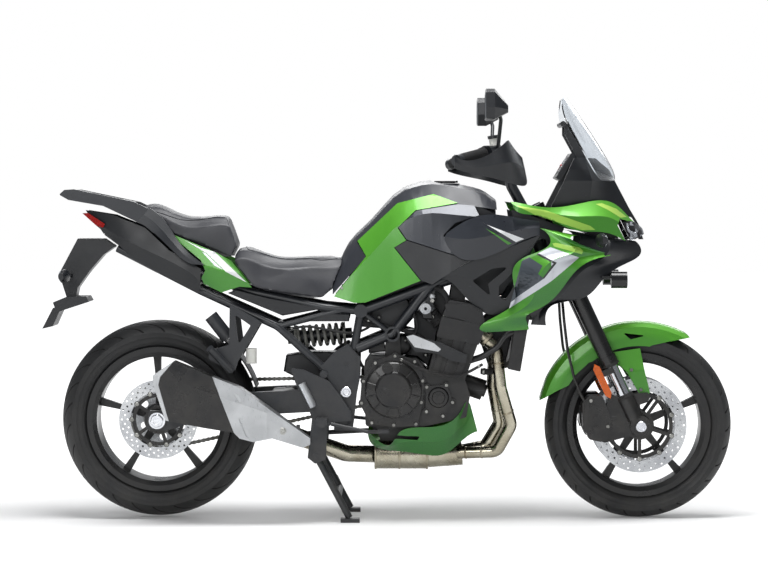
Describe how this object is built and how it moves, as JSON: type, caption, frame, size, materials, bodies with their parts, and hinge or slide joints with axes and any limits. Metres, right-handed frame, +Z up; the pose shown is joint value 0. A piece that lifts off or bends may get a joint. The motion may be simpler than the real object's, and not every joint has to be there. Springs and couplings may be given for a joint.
{
  "type": "sport touring motorcycle",
  "caption": "Sport touring motorcycle on its centre stand: tube frame, parallel cylinder engine, half fairing with screen, two seats, cast wheels, turning steering and folding stands.",
  "frame": {"origin": "on the floor under the middle of the motorcycle's length and width", "axes": "+X forward, +Y to the rider's left, +Z up"},
  "size_m": [2.2009, 0.9004, 1.358],
  "materials": {
    "frame_paint": "satin",
    "engine_black": "satin",
    "cover_black": "satin",
    "pipe_steel": "brushed",
    "silencer_black": "satin",
    "shield_metal": "brushed",
    "radiator_black": "matte",
    "green_paint": "gloss",
    "grey_cover": "satin",
    "tank_steel": "satin",
    "black_gloss": "gloss",
    "black_plastic": "matte",
    "clear_screen": "clear",
    "lamp_lens": "clear",
    "seat_cover": "grained",
    "carrier_black": "satin",
    "red_lens": "gloss",
    "shock_black": "satin",
    "chain_steel": "satin",
    "bracket_black": "satin",
    "brake_black": "satin",
    "slider_face": "satin",
    "fork_black": "satin",
    "amber_lens": "gloss",
    "rim_black": "satin",
    "tyre_rubber": "matte",
    "disc_steel": "brushed",
    "stand_black": "satin",
    "cap_metal": "satin"
  },
  "bodies": {
    "chassis": {"frame": "frame_paint", "engine_case": "engine_black", "engine_covers": "cover_black", "exhaust_pipes": "pipe_steel", "silencer": "silencer_black", "silencer_shield": "shield_metal", "radiator": "radiator_black", "belly_cowl": "green_paint", "tank_cover": "grey_cover", "tank_panel": "green_paint", "fuel_tank": "tank_steel", "gloss_panel": "black_gloss", "inner_panel": "black_plastic", "upper_cowl": "green_paint", "side_cowl": "green_paint", "lower_cowl": "black_plastic", "inner_cowl": "black_plastic", "windscreen": "clear_screen", "cockpit": "black_plastic", "lamp": "lamp_lens", "indicator": "black_plastic", "rider_seat": "seat_cover", "pillion_seat": "seat_cover", "tail_panel": "green_paint", "tail_cowl": "black_plastic", "carrier": "carrier_black", "tail_lamp": "red_lens", "rear_fender": "black_plastic", "swingarm": "frame_paint", "rear_shock": "shock_black", "chain": "chain_steel", "footrest": "bracket_black", "rear_brake": "brake_black", "slider_bar": "slider_face"},
    "steering": {"fork_legs": "fork_black", "fork_bridges": "fork_black", "handlebar": "frame_paint", "hand_guard": "black_plastic", "mirror": "black_plastic", "controls": "black_plastic", "front_fender": "green_paint", "front_caliper": "brake_black", "reflector": "amber_lens"},
    "front_wheel": {"front_rim": "rim_black", "front_tyre": "tyre_rubber", "front_disc": "disc_steel"},
    "rear_wheel": {"rear_rim": "rim_black", "rear_tyre": "tyre_rubber", "rear_disc": "disc_steel", "rear_sprocket": "chain_steel"},
    "centre_stand": {"centre_stand": "stand_black"},
    "side_stand": {"side_stand": "stand_black"},
    "filler_cap": {"filler_cap": "cap_metal"}
  },
  "joints": [
    {"name": "steer", "type": "hinge", "parent": "chassis", "child": "steering", "pos_m": [0.49463, 0, 0.876], "axis": [-0.4226, 0, 0.9063], "range_deg": [-32, 32]},
    {"name": "front_wheel_spin", "type": "hinge", "parent": "steering", "child": "front_wheel", "pos_m": [0.804, 0, 0.299], "axis": [0, 1, 0], "continuous": true},
    {"name": "rear_wheel_spin", "type": "hinge", "parent": "chassis", "child": "rear_wheel", "pos_m": [-0.726, 0, 0.319], "axis": [0, 1, 0], "continuous": true},
    {"name": "centre_stand_fold", "type": "hinge", "parent": "chassis", "child": "centre_stand", "pos_m": [-0.224, 0, 0.211], "axis": [0, 1, 0], "range_deg": [0, 104]},
    {"name": "side_stand_swing", "type": "hinge", "parent": "chassis", "child": "side_stand", "pos_m": [-0.04, 0.196, 0.262], "axis": [0.021, -0.9073, -0.4199], "range_deg": [0, 96]},
    {"name": "filler_cap_open", "type": "hinge", "parent": "chassis", "child": "filler_cap", "pos_m": [0.224, 0, 1.0742], "axis": [0, 1, 0], "range_deg": [0, 80]}
  ]
}
